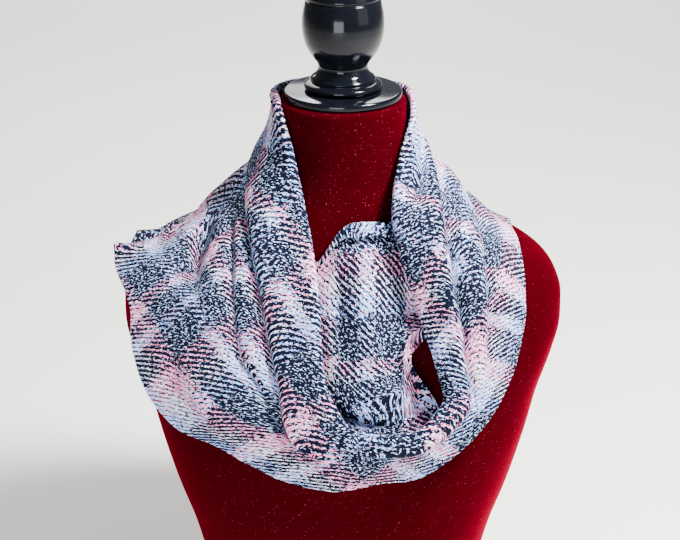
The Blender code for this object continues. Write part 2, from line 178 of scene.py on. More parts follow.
def smoothMesh(mesh):
    mesh.shade_smooth()
    mesh.set_sharp_from_angle(angle=math.radians(sharpAngle))


def ringedMesh(name, rings):
    # a closed solid through rings of points, with a flat face at each end
    sides = len(rings[0])
    verts = [point for ring in rings for point in roundPlaces(ring)]
    faces = []
    for r in range(len(rings) - 1):
        low, high = r * sides, (r + 1) * sides
        for k in range(sides):
            following = (k + 1) % sides
            faces.append((low + k, low + following, high + following, high + k))
    faces.append(tuple(reversed(range(sides))))
    faces.append(tuple(range(len(verts) - sides, len(verts))))
    mesh = bpy.data.meshes.new(name)
    mesh.from_pydata(verts, [], faces)
    smoothMesh(mesh)
    return mesh


def standFor(piece, nodes):
    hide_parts(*nodes)
    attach(piece, "root")


def faceOutward(mesh):
    solid = bmesh.new()
    solid.from_mesh(mesh)
    if solid.calc_volume(signed=True) < 0:
        bmesh.ops.reverse_faces(solid, faces=solid.faces)
        solid.to_mesh(mesh)
    solid.free()


# ---- node helpers ----

class NodeTools:
    # a node tree, with short ways to add and link its nodes
    def __init__(self, tree):
        self.tree = tree

    def fill(self, node, values):
        # sets the node's sockets, and links those whose value is another node's output
        for socket, value in values.items():
            if isinstance(value, bpy.types.NodeSocket):
                self.tree.links.new(value, node.inputs[socket])
            else:
                node.inputs[socket].default_value = value

    def node(self, kind, values=None, **settings):
        made = self.tree.nodes.new(kind)
        for key, value in settings.items():
            setattr(made, key, value)
        self.fill(made, values or {})
        return made

    def bump(self, height, strength, depth):
        values = {"Height": height, "Strength": strength, "Distance": depth}
        return self.node("ShaderNodeBump", values).outputs["Normal"]

    def maths(self, operation, first, second=0.0, third=None):
        links = {0: first, 1: second} if third is None else {0: first, 1: second, 2: third}
        return self.node("ShaderNodeMath", links, operation=operation).outputs[0]

    def mix(self, factor, first, second):
        links = {"Factor": factor, 6: first, 7: second}
        return self.node("ShaderNodeMix", links, data_type="RGBA").outputs[2]

    def clamp(self, value):
        return self.node("ShaderNodeClamp", {0: value}).outputs[0]

    def scaled(self, vector, factor):
        links = {0: vector, 1: (factor,) * 3}
        return self.node("ShaderNodeVectorMath", links, operation="MULTIPLY").outputs[0]

    def swing(self, value, amount):
        # a noise as a push to either side
        return self.maths("MULTIPLY", self.maths("SUBTRACT", value, 0.5), amount)

    def above(self, value, level, edge):
        # 1 where a noise is above the level, 0 elsewhere
        return self.clamp(self.maths("MULTIPLY", self.maths("SUBTRACT", value, level), edge))

    def steps(self, factor, stops):
        # flat bands of colour, one from each stop on
        made = self.node("ShaderNodeValToRGB", {"Fac": factor})
        made.color_ramp.interpolation = "CONSTANT"
        elements = made.color_ramp.elements
        while len(elements) < len(stops):
            elements.new(1.0)
        for element, (position, colour) in zip(elements, stops):
            element.position = position
            element.color = (*colour, 1.0)
        return made.outputs["Color"]


def newMaterial(name):
    material = bpy.data.materials.new(name)
    material.use_nodes = True
    material.node_tree.nodes.clear()
    tools = NodeTools(material.node_tree)
    surface = tools.node("ShaderNodeBsdfPrincipled")
    end = tools.node("ShaderNodeOutputMaterial", {"Surface": surface.outputs["BSDF"]})
    end.is_active_output = True
    return material, tools, surface


def newGroup(name, kind, sockets):
    group = bpy.data.node_groups.new(name, kind)
    for socket, way, shape in sockets:
        group.interface.new_socket(socket, in_out=way, socket_type="NodeSocket" + shape)
    tools = NodeTools(group)
    return group, tools, tools.node("NodeGroupInput").outputs


def rgba(colour):
    return (*colour, 1.0)


def buildSpeckle():
    # fine broken marks, 0 to 1, stretched along one direction
    group, tools, start = newGroup("speckle", "ShaderNodeTree", (
        ("Vector", "INPUT", "Vector"), ("Length", "INPUT", "Float"), ("Width", "INPUT", "Float"),
        ("Seed", "INPUT", "Float"), ("Marks", "OUTPUT", "Float")))
    parts = tools.node("ShaderNodeSeparateXYZ", {0: start["Vector"]}).outputs
    place = tools.node("ShaderNodeCombineXYZ", {
        0: tools.maths("DIVIDE", parts[0], start["Length"]),
        1: tools.maths("DIVIDE", parts[1], start["Width"]),
        2: tools.maths("ADD", parts[2], start["Seed"]),
    }).outputs[0]
    marks = tools.node(
        "ShaderNodeTexNoise", {"Vector": place, "Scale": 1.0, "Detail": 1.5, "Roughness": 0.6})
    tools.node("NodeGroupOutput", {0: marks.outputs["Fac"]})
    return group


speckle = buildSpeckle()


def placeSpeckle(tools, vector, length, width, seed):
    links = {"Vector": vector, "Length": length, "Width": width, "Seed": seed}
    return tools.node("ShaderNodeGroup", links, node_tree=speckle).outputs[0]


# ---- printed flannel ----

flannel = {
    "strokePitch": 4.3,  # mm between the printed strokes
    "strokeWander": 2.6,
    "strokeBreaks": 4.4,
    "strokeEdge": 7.0,  # how crisp the strokes are
    "navyBias": 0.42,
    "edgeRagged": 24.0,  # how far the bands' edges wander, mm
    "palestMarks": 0.64,  # noise above this is a pale mark; lower where navy crosses navy
    "navyMarks": 0.515,
    "markEdge": 34.0,  # how crisp the marks are
    "crossingMarks": 0.058,
    "dashDraw": 0.075,  # how strongly navy dashes gather on the strokes of the light blocks
    # colour, noise above which it shows, how strongly, seed: flecks on the light bands
    "flecks": (
        ("lilac", 0.55, 0.9, 100.0), ("white", 0.57, 1.0, 130.0), ("pink", 0.57, 0.9, 160.0)),
    "fleckEdge": 24.0,  # how crisp the flecks are
    # the noises' sizes along and across the strokes, in mm, and a seed
    "noises": {
        "ragged": (7.0, 3.2, 3.0),
        "broken": (2.3, 1.5, 11.0),
        "specks": (2.9, 1.15, 23.0),
        "darkSpecks": (2.9, 1.05, 57.0),
        "nap": (0.9, 0.5, 31.0),
    },
    "edgeNoise": (4.2, 2.0),
    "fleckNoise": (3.6, 1.25),
    "bandSeeds": (5.0, 17.0),
    "napHeight": 0.35,
    "napDepth": 0.0006,
    "strokeHeight": 0.12,  # how far the strokes stand in the nap
    "shader": {"Roughness": 0.95, "Specular IOR Level": 0.08},
}
printColours = {
    "navy": (0.0030, 0.0036, 0.013),
    "white": (0.82, 0.84, 1.0),
    "blue": (0.26, 0.52, 1.0),
    "pink": (1.0, 0.26, 0.47),
    "lilac": (0.46, 0.49, 1.0),
}
# one repeat of the check, the same both ways: colour and width in mm
checkBands = (
    ("navy", 20), ("blue", 11), ("navy", 31), ("pink", 20), ("white", 14), ("blue", 16),
    ("navy", 36), ("pink", 10), ("white", 6),
)


def buildBand(tools, lay, place, seed):
    # the bands that run one way: their colour, and 1 where they are navy
    period = float(sum(width for _, width in checkBands))
    colours, darks, at = [], [], 0.0
    for name, width in checkBands:
        colours.append((at / period, printColours[name]))
        darks.append((at / period, (1.0 if name == "navy" else 0.0,) * 3))
        at += width
    wander = placeSpeckle(tools, lay, *flannel["edgeNoise"], seed)
    place = tools.maths("ADD", place, tools.swing(wander, flannel["edgeRagged"]))
    place = tools.maths("FRACT", tools.maths("DIVIDE", place, period))
    dark = tools.steps(place, darks)
    light = tools.maths("SUBTRACT", 1.0, dark)
    band = tools.steps(place, colours)
    for name, level, amount, offset in flannel["flecks"]:
        fleck = placeSpeckle(tools, lay, *flannel["fleckNoise"], seed + offset)
        fleck = tools.above(fleck, level, flannel["fleckEdge"])
        fleck = tools.maths("MULTIPLY", tools.maths("MULTIPLY", fleck, amount), light)
        band = tools.mix(fleck, band, rgba(printColours[name]))
    return band, dark


def buildFlannel():
    material, tools, surface = newMaterial("printedFlannel")
    plaid, lay = (
        tools.scaled(tools.node("ShaderNodeUVMap", uv_map=name).outputs["UV"], 100.0)
        for name in ("plaid", "strokes"))
    check = tools.node("ShaderNodeSeparateXYZ", {0: plaid})
    across = tools.node("ShaderNodeSeparateXYZ", {0: lay}).outputs[1]
    noises = {
        name: placeSpeckle(tools, lay, *sizes) for name, sizes in flannel["noises"].items()}
    bands = [
        buildBand(tools, lay, check.outputs[axis], seed)
        for axis, seed in enumerate(flannel["bandSeeds"])]
    (colourA, darkA), (colourB, darkB) = bands
    # strokes show one set of bands on their crests and the other in their troughs
    turn = tools.maths("MULTIPLY", across, 2 * math.pi / flannel["strokePitch"])
    turn = tools.maths("ADD", turn, tools.swing(noises["ragged"], flannel["strokeWander"]))
    wave = tools.maths("SINE", turn)
    broken = tools.maths("ADD", wave, tools.swing(noises["broken"], flannel["strokeBreaks"]))
    bias = tools.maths("MULTIPLY", tools.maths("SUBTRACT", darkA, darkB), flannel["navyBias"])
    stroke = tools.maths("MULTIPLY", tools.maths("ADD", broken, bias), flannel["strokeEdge"])
    stroke = tools.clamp(tools.maths("ADD", stroke, 0.5))
    colour = tools.mix(stroke, colourB, colourA)
    # navy marks over all, then pale marks
    bothLight = tools.maths(
        "MULTIPLY", tools.maths("SUBTRACT", 1.0, darkA), tools.maths("SUBTRACT", 1.0, darkB))
    dashes = tools.maths("MULTIPLY", tools.maths("MULTIPLY", wave, bothLight), flannel["dashDraw"])
    mark = tools.maths("ADD", noises["darkSpecks"], dashes)
    mark = tools.above(mark, flannel["navyMarks"], flannel["markEdge"])
    colour = tools.mix(mark, colour, rgba(printColours["navy"]))
    crossing = tools.maths("MULTIPLY", darkA, darkB)
    crossing = tools.maths("MULTIPLY", crossing, flannel["crossingMarks"])
    speck = tools.maths("ADD", noises["specks"], crossing)
    speck = tools.above(speck, flannel["palestMarks"], flannel["markEdge"])
    pale = tools.mix(noises["ragged"], rgba(printColours["white"]), rgba(printColours["blue"]))
    colour = tools.mix(speck, colour, pale)
    weave = tools.maths("MULTIPLY", stroke, flannel["strokeHeight"])
    weave = tools.maths("ADD", noises["nap"], weave)
    normal = tools.bump(weave, flannel["napHeight"], flannel["napDepth"])
    tools.fill(surface, {"Base Color": colour, "Normal": normal, **flannel["shader"]})
    return material


# ---- velvet and black lacquer ----

velvet = {
    "deep": (0.022, 0.0, 0.0010),
    "bright": (0.038, 0.0, 0.0020),
    # colour of the painted glints: small light crimson flecks that stand for the pile catching the
    # light
    "paintedGlint": (0.55, 0.10, 0.16),
    "paintedGlintLevel": 0.70,  # noise above this is a painted glint of the pile
    "paintedGlintEdge": 30.0,
    "paintedGlintStrength": 0.5,
    # the noises' sizes in mm, and a seed
    "noises": {"brushed": (26.0, 18.0, 2.0), "nap": (0.8, 0.8, 9.0), "paintedGlint": (1.1, 0.9, 41.0)},
    "napHeight": 0.4,
    "napDepth": 0.0004,
    "shader": {
        "Roughness": 0.78,
        "Specular IOR Level": 0.0,
        "Sheen Weight": 0.24,
        "Sheen Roughness": 0.34,
        "Sheen Tint": (1.0, 0.0, 0.06, 1.0),
    },
}
lacquer = {
    "colour": (0.0025, 0.003, 0.005),
    "dustColour": (0.045, 0.045, 0.045),
    "dustLevel": 0.70,
    "dustEdge": 9.0,
    "dust": 0.10,  # how much rougher the dust is
    "roughness": 0.09,
    "streaks": 0.05,  # how much rougher the streaks are
    "noises": {"streak": (9.0, 9.0, 6.0), "dust": (0.9, 0.9, 14.0)},
    "streakHeight": 0.05,
    "streakDepth": 0.0004,
    "shader": {"Specular IOR Level": 0.17, "Coat Weight": 0.07, "Coat Roughness": 0.05},
}


def placeNoises(tools, sizes):
    # noises through the piece's own space, measured in mm
    place = tools.scaled(tools.node("ShaderNodeTexCoord").outputs["Object"], 1000.0)
    return {name: placeSpeckle(tools, place, *size) for name, size in sizes.items()}


def buildVelvet():
    material, tools, surface = newMaterial("stretchVelvet")
    noises = placeNoises(tools, velvet["noises"])
    colour = tools.mix(noises["brushed"], rgba(velvet["deep"]), rgba(velvet["bright"]))
    # painted glints: light crimson flecks in the base colour, standing for the pile catching the
    # light
    fleck = tools.above(noises["paintedGlint"], velvet["paintedGlintLevel"], velvet["paintedGlintEdge"])
    fleck = tools.maths("MULTIPLY", fleck, velvet["paintedGlintStrength"])
    colour = tools.mix(fleck, colour, rgba(velvet["paintedGlint"]))
    normal = tools.bump(noises["nap"], velvet["napHeight"], velvet["napDepth"])
    tools.fill(surface, {"Base Color": colour, "Normal": normal, **velvet["shader"]})
    return material


def buildLacquer():
    material, tools, surface = newMaterial("blackLacquer")
    noises = placeNoises(tools, lacquer["noises"])
    fleck = tools.above(noises["dust"], lacquer["dustLevel"], lacquer["dustEdge"])
    rough = tools.maths("MULTIPLY", noises["streak"], lacquer["streaks"])
    rough = tools.maths("ADD", rough, lacquer["roughness"])
    rough = tools.maths("ADD", rough, tools.maths("MULTIPLY", fleck, lacquer["dust"]))
    colour = tools.mix(fleck, rgba(lacquer["colour"]), rgba(lacquer["dustColour"]))
    normal = tools.bump(noises["streak"], lacquer["streakHeight"], lacquer["streakDepth"])
    tools.fill(
        surface, {"Base Color": colour, "Roughness": rough, "Normal": normal, **lacquer["shader"]})
    return material


flannelMaterial = buildFlannel()
velvetMaterial = buildVelvet()
lacquerMaterial = buildLacquer()
print("materials are made")


# ---- the dress form, its cap and finial ----

dressForm = {
    "sides": 128,
    "rowsBetween": 4,
    "power": 2.2,  # 2 is an ellipse, more is squarer
    # height, half width, depth in front of the neck's axis, depth behind it
    "sections": (
        (-6.8, 49.0, 49.0, 49.0), (-8.0, 51.3, 51.3, 51.3), (-11.0, 52.5, 52.5, 52.5),
        (-30.0, 52.3, 52.3, 52.5), (-52.0, 53.0, 52.8, 54.0), (-66.0, 55.5, 54.5, 58.0),
        (-78.0, 60.5, 57.5, 64.0), (-88.0, 69.0, 61.0, 69.5), (-97.0, 83.0, 65.0, 74.5),
        (-106.0, 102.0, 69.5, 79.0), (-115.0, 119.5, 74.0, 83.0), (-124.0, 137.5, 78.0, 86.5),
        (-134.0, 158.0, 82.0, 90.0), (-146.0, 173.5, 86.0, 94.0), (-160.0, 183.0, 90.0, 98.0),
        (-178.0, 188.5, 95.0, 102.5), (-200.0, 189.0, 101.0, 107.0), (-228.0, 183.0, 110.0, 110.5),
        (-262.0, 172.0, 120.0, 111.0), (-300.0, 163.0, 127.5, 108.5), (-345.0, 151.0, 124.0, 102.5),
        (-395.0, 135.5, 110.0, 94.5), (-440.0, 125.5, 99.0, 88.0), (-466.0, 121.5, 94.5, 85.0),
        (-470.0, 118.5, 91.5, 82.0),
    ),
}
formTable = np.array(dressForm["sections"])[::-1]


def formSection(height):
    return [easedCurve(formTable[:, 0], formTable[:, column], height) for column in (1, 2, 3)]


def formLevel(points):
    # 1 on the form's surface, more outside it
    width, front, back = formSection(points[..., 2])
    depth = np.where(points[..., 1] < 0, front, back)
    power = dressForm["power"]
    ratio = (np.abs(points[..., 0]) / width) ** power + (np.abs(points[..., 1]) / depth) ** power
    return ratio ** (1 / power)


def clearOfForm(points, distance, rounds=5):
    # moves each point that is nearer the form than the distance straight out to it
    points = points.copy()
    probe = 0.5
    for _ in range(rounds):
        level = formLevel(points)
        gradient = np.empty_like(points)
        for axis in range(3):
            offset = np.zeros(3)
            offset[axis] = probe
            change = formLevel(points + offset) - formLevel(points - offset)
            gradient[..., axis] = change / (2 * probe)
        steepness = np.linalg.norm(gradient, axis=-1)
        short = np.maximum(distance - (level - 1) / steepness, 0)
        points += gradient / steepness[..., None] * short[..., None]
    return points


def buildDressForm():
    heights, sides = formTable[:, 0], dressForm["sides"]
    steps = np.concatenate(
        [np.linspace(low, high, dressForm["rowsBetween"], endpoint=False)
         for low, high in zip(heights, heights[1:])] + [heights[-1:]])
    share = 2 / dressForm["power"]
    rings = []
    for height in steps:
        width, front, back = (float(value) for value in formSection(height))
        ring = []
        for k in range(sides):
            c, s = math.cos(2 * math.pi * k / sides), math.sin(2 * math.pi * k / sides)
            depth = front if s < 0 else back
            ring.append((math.copysign(abs(c) ** share, c) * width,
                         math.copysign(abs(s) ** share, s) * depth, height))
        rings.append(ring)
    piece = addToScene("velvetForm", ringedMesh("velvetForm", rings))
    piece.data.materials.append(velvetMaterial)
    standFor(piece, ["form_torso"])


turnedParts = {
    "sides": 112,
    "stepsBetween": 4,
    "cap": (
        (46.8, -6.5), (47.9, -6.2), (48.7, -5.4), (49.0, -4.3), (49.0, -2.2), (48.7, -1.1),
        (47.9, -0.3), (46.8, 0.0),
    ),
    "finial": (
        (29.5, 0.3), (31.6, 1.6), (32.2, 3.6), (31.4, 5.6), (28.6, 7.0), (26.6, 7.4),
        (26.6, 8.6), (26.9, 9.8), (25.4, 11.6), (22.6, 14.0), (20.9, 17.0), (20.6, 20.4),
        (22.2, 24.0), (26.8, 30.2), (30.9, 38.2), (33.0, 46.6), (33.6, 53.4), (33.6, 57.6),
        (33.1, 63.0), (31.9, 69.0), (30.6, 73.6), (29.4, 74.6), (29.4, 75.8), (30.2, 77.0),
        (28.8, 81.6), (25.4, 87.2), (19.8, 92.4), (12.4, 96.2), (4.8, 98.0),
    ),
}


def buildTurnRound():
    # turns a row of points round the upright axis; points on the axis close the ends
    group, tools, start = newGroup("turnRound", "GeometryNodeTree", (
        ("Profile", "INPUT", "Geometry"), ("Sides", "INPUT", "Int"),
        ("Material", "INPUT", "Material"), ("Solid", "OUTPUT", "Geometry")))
    profile, sides = start["Profile"], start["Sides"]
    counted = tools.node("GeometryNodeAttributeDomainSize", {0: profile})
    count = counted.outputs["Point Count"]
    around = tools.maths("ADD", sides, 1.0)
    sheet = tools.node("GeometryNodeMeshGrid", {"Vertices X": around, "Vertices Y": count})
    index = tools.node("GeometryNodeInputIndex").outputs[0]
    side = tools.maths("FLOOR", tools.maths("DIVIDE", index, count))
    angle = tools.maths("DIVIDE", tools.maths("MULTIPLY", side, 2 * math.pi), sides)
    onProfile = tools.node("GeometryNodeSampleIndex", {
        "Geometry": profile,
        "Value": tools.node("GeometryNodeInputPosition").outputs[0],
        "Index": tools.maths("MODULO", index, count),
    }, data_type="FLOAT_VECTOR")
    parts = tools.node("ShaderNodeSeparateXYZ", {0: onProfile.outputs["Value"]}).outputs
    place = tools.node("ShaderNodeCombineXYZ", {
        0: tools.maths("MULTIPLY", parts[0], tools.maths("COSINE", angle)),
        1: tools.maths("MULTIPLY", parts[0], tools.maths("SINE", angle)),
        2: parts[2],
    }).outputs[0]
    solid = sheet.outputs["Mesh"]
    for kind, values in (
            ("GeometryNodeSetPosition", {"Position": place}),
            ("GeometryNodeMergeByDistance", {"Distance": 1e-6}),
            ("GeometryNodeRealizeInstances", {}),
            ("GeometryNodeSetMaterial", {"Material": start["Material"]})):
        solid = tools.node(kind, {"Geometry": solid, **values}).outputs[0]
    tools.node("NodeGroupOutput", {0: solid})
    return group


turnRound = buildTurnRound()


def buildTurned(name, profile, node):
    at = np.linspace(0, len(profile) - 1, (len(profile) - 1) * turnedParts["stepsBetween"] + 1)
    rows = [(0.0, profile[0][1]), *throughRows(profile, at, closed=False), (0.0, profile[-1][1])]
    outline = bpy.data.meshes.new(name + "Profile")
    outline.from_pydata(roundPlaces([(r, 0.0, z) for r, z in rows]), [], [])
    piece = addToScene(name, outline)
    turning = piece.modifiers.new("turnRound", "NODES")
    turning.node_group = turnRound
    sockets = {item.name: item.identifier for item in turnRound.interface.items_tree}
    turning[sockets["Sides"]] = turnedParts["sides"]
    turning[sockets["Material"]] = lacquerMaterial
    bpy.context.view_layer.update()
    scene = bpy.context.evaluated_depsgraph_get()
    solid = bpy.data.meshes.new_from_object(piece.evaluated_get(scene))
    piece.modifiers.remove(turning)
    piece.data = solid
    bpy.data.meshes.remove(outline)
    faceOutward(solid)
    smoothMesh(solid)
    standFor(piece, [node])


buildDressForm()
buildTurned("neckCap", turnedParts["cap"], "neck_cap")
buildTurned("turnedFinial", turnedParts["finial"], "finial")
print("the form, cap and finial are made")


# ---- the scarf ----

cloth = {
    "thickness": 1.6,
    "rest": 1.8,  # the cloth's inner face above the form
    "fade": 1.1,  # how far along the loop a fold takes to fade out
    "waveFade": 0.22,  # the same for a wave, as a share from rim to hem
    "edge": 2.0,  # how sharply the rim side of a crease drops
    "stepReach": 2.2,  # how far its step reaches towards the rim, in reaches of the crease
    "creaseRound": 1.2,
    "narrow": 95.0,  # a narrower band than this has shallower creases
    "leastDepth": 0.35,  # how shallow they get, as a share
    "gather": 0.07,  # how strongly the columns of points gather at a crease
    "rowsPerPlace": 18,
    "easing": 3,  # rounds of smoothing
    "easeStrength": 0.25,
    "lipRoom": 1.2,  # between the wall and the lip behind it
    "rimAngles": (180, 150, 120, 90, 60, 30),
    "lipShares": (1.0, 0.66, 0.33),
    # slight unevenness, as brushed cloth has: size, height and shift in mm
    "ripples": ((26.0, 1.1, 0), (9.0, 0.35, 40)),
    # the print
    "printFade": 3.2,  # places over which a jump in the print fades out
    "printLift": 0.8,  # how far the strokes move for each mm that a fold lifts
    "dipReach": 9.0,  # how far from a crease its strokes bend, mm
    "flattenRounds": 40,
    "flatColumns": 8,
}

# Each section: rim at the neck, a third, two thirds, and the hem. The first is at the nape, and
# they go round by the form's right side (-X), the front and its left side.
outerRound = {
    "name": "outerRound",
    "nodes": ("scarf_back_left", "scarf_left", "scarf_right", "scarf_back_right"),
    "flat": (0.155, 0.973),  # width, as a mean along the length, and length of the cloth that shows
    "rollsIn": 1,
    "steps": (18, 14, 20, 20),
    "sections": (
        ((0, 66, -8), (0, 77, -60), (0, 105, -130), (0, 118, -205)),
        ((-36, 54, -7), (-48, 63, -60), (-76, 92, -126), (-90, 106, -200)),
        ((-56, 24, -5), (-76, 28, -62), (-120, 46, -114), (-154, 66, -170)),
        ((-53, -21, -4), (-83, -6, -77), (-130, 4, -114), (-180, 14, -140)),
        ((-43, -39, -32), (-82, -44, -86), (-134, -44, -116), (-189, -36, -142)),
        ((-33, -57, -73), (-78, -74, -106), (-127, -74, -134), (-177, -68, -160)),
        ((-25, -84, -105), (-72, -100, -134), (-121, -100, -164), (-172, -90, -197)),
        ((-19, -112, -143), (-66, -122, -172), (-112, -120, -200), (-159, -105, -230)),
        ((-17, -128, -180), (-58, -136, -206), (-97, -133, -230), (-133, -118, -255)),
        ((-12, -138, -208), (-43, -144, -232), (-71, -141, -251), (-97, -130, -266)),
        ((2, -144, -235), (-17, -150, -248), (-36, -148, -266), (-53, -140, -287)),
        ((15, -147, -242), (7, -154, -256), (-2, -152, -275), (-10, -144, -296)),
        ((37, -147, -243), (34, -154, -255), (31, -152, -271), (28, -144, -290)),
        ((60, -142, -242), (61, -150, -252), (63, -148, -267), (64, -141, -285)),
        ((75, -132, -232), (82, -141, -239), (90, -139, -252), (97, -132, -265)),
        ((83, -121, -223), (96, -131, -222), (110, -128, -229), (122, -117, -240)),
        ((75, -112, -196), (95, -124, -192), (116, -121, -197), (139, -102, -210)),
        ((65, -101, -168), (91, -115, -161), (118, -110, -164), (148, -85, -175)),
        ((54, -93, -135), (85, -107, -127), (117, -98, -131), (149, -64, -147)),
        ((41, -79, -95), (82, -88, -94), (116, -70, -106), (147, -35, -126)),
        ((40, -62, -74), (81, -56, -77), (113, -20, -98), (144, 4, -125)),
        ((45, -42, -52), (78, -18, -62), (106, 10, -90), (141, 42, -140)),
        ((57, -15, -16), (74, 8, -56), (102, 40, -98), (131, 76, -162)),
        ((54, 27, -7), (64, 38, -58), (91, 72, -116), (112, 95, -186)),
        ((28, 57, -8), (36, 69, -60), (52, 98, -126), (62, 112, -202)),
    ),
    # the crease lines that the columns of points gather at: place, then a share from rim to hem
    "lines": (
        (0, 0.34, 0.62, 0.82), (1.5, 0.34, 0.55, 0.78), (3, 0.33, 0.42, 0.60),
        (4, 0.32, 0.395, 0.58), (5, 0.31, 0.414, 0.64), (6, 0.30, 0.441, 0.78),
        (7, 0.28, 0.45, 0.786), (8, 0.27, 0.385, 0.78), (9, 0.36, 0.48, 0.93),
        (10, 0.52, 0.64, 0.86), (11, 0.44, 0.68, 0.86), (12, 0.45, 0.66, 0.84),
        (13, 0.52, 0.70, 0.86), (14, 0.52, 0.66, 0.84), (15, 0.50, 0.64, 0.84),
        (16, 0.335, 0.67, 0.85), (18, 0.333, 0.667, 0.85), (20, 0.335, 0.65, 0.84),
        (22, 0.34, 0.64, 0.82), (25, 0.34, 0.62, 0.82),
    ),
    # path (place, share), depth, reach towards rim and hem, step, lean, and how far the print jumps
    # across the crease, because the cloth inside the pleat is hidden: along and across the strokes;
    # last, how far the strokes are drawn down into the crease
    "folds": {
        "neckLeft": (
            ((1.2, 0.34), (3, 0.33), (4, 0.32), (5, 0.31), (6, 0.30), (7, 0.28), (8, 0.27),
             (9, 0.36), (10, 0.55), (11, 0.56)),
            10.5, 8, 7.5, 10, 4.0, (26, 39), 7),
        "pleatLeft": (
            ((3.3, 0.37), (4, 0.395), (5, 0.414), (6, 0.441), (7, 0.45), (8, 0.385), (9, 0.43),
             (10, 0.62)),
            7.5, 5, 6, 4.5, 2.6, (26, 3), 2),
        "dimpleLeft": (
            ((3.2, 0.52), (4.2, 0.58), (5, 0.64), (5.8, 0.58)),
            15, 9, 11, 0, 0, (0, 0), 19),
        "flapLeft": (
            ((6.0, 0.78), (7, 0.786), (8, 0.78), (9.2, 0.97)),
            9, 6, 10, 9, 3.6, (10, 12), 4),
        "rimRoll": (
            ((11.1, 0.36), (12, 0.45), (13, 0.52), (14, 0.52), (15, 0.50), (16, 0.335),
             (18, 0.333), (20, 0.335), (22, 0.34), (25, 0.34), (26.4, 0.34)),
            10.5, 8, 8.5, 8, 3.0, (20, -14), 8),
        "pleatRight": (
            ((15.0, 0.66), (16, 0.67), (18, 0.667), (20, 0.65), (22, 0.64), (25.8, 0.62)),
            8, 7.5, 9, 4, 1.8, (12, 16), 8),
        "pleatNape": (
            ((23.4, 0.86), (24.6, 0.80), (25.6, 0.72), (26.8, 0.66), (28.2, 0.70)),
            7, 8, 9, 4, 2.0, (9, 9), 4),
        "shoulderDip": (
            ((2.2, 0.72), (3.0, 0.76), (3.9, 0.76), (4.6, 0.72)),
            7, 14, 10, 0, 0, (0, 0), 8),
        "shoulderSlope": (
            ((1.2, 0.36), (2.4, 0.40), (3.3, 0.42), (4.4, 0.40)),
            2.5, 22, 24, 0, 0, (0, 0), 0),
        "notchRight": (
            ((19.4, 0.12), (20, 0.14), (21, 0.20), (22.4, 0.24)),
            9, 7, 7, 0, 0, (0, 0), 6),
    },
    # folds that run from rim to hem: path (share, place), height, reach before and after
    "waves": {
        "shoulderPeakBack": (((0.86, 2.84), (1, 2.72)), 16, 15, 13),
        "shoulderValley": (((0.66, 3.25), (1, 3.20)), -5, 8, 8),
        "shoulderPeakFront": (((0.86, 3.66), (1, 3.62)), 17, 7, 9),
        "backLeft": (((0.45, 1.7), (1, 1.5)), -8, 14, 10),
        "backRight": (((0.45, 23.4), (1, 23.6)), -7, 10, 14),
        "hemLeft": (((0.72, 5.6), (1, 5.3)), -4, 9, 9),
    },
    # place, radius of the rolled rim, and length of the lip turned in behind it
    "roll": (
        (0, 3.0, 5), (2, 2.4, 3), (3, 2.9, 4), (4, 2.3, 4), (5, 3.4, 5), (9, 4, 6), (11, 4.6, 4),
        (15, 4.4, 3), (18, 4, 5), (20, 3.4, 3), (21, 2.6, 3), (22, 2.0, 2), (23, 2.2, 2),
        (25, 3.0, 5),
    ),
    # a fold laid over its neighbour at the front, from the rim down to the share
    "tuck": {"place": 10.7, "slant": 1.7, "share": 0.60, "fade": 0.25, "height": 5.0, "lean": 2.2,
             "edge": 1.8, "reach": 26.0, "groove": 3.0, "grooveReach": 5.0},
    # degrees that the print is turned, by place: cloth on the bias drapes so
    "strokeTurn": (
        (0, -20), (2, -32), (3.5, -38), (5.5, -22), (8, -10), (10.5, 0), (12.5, 0), (15, 12),
        (18, 18), (21, 20), (25, 10),
    ),
    "levelPlaces": (4, 21),  # the places whose level the print is laid by
    "strokesTilted": False,  # whether the strokes slant at 45 degrees
    "checkTurn": 45.0,
    "checkShift": (0.0, 41.0),
}
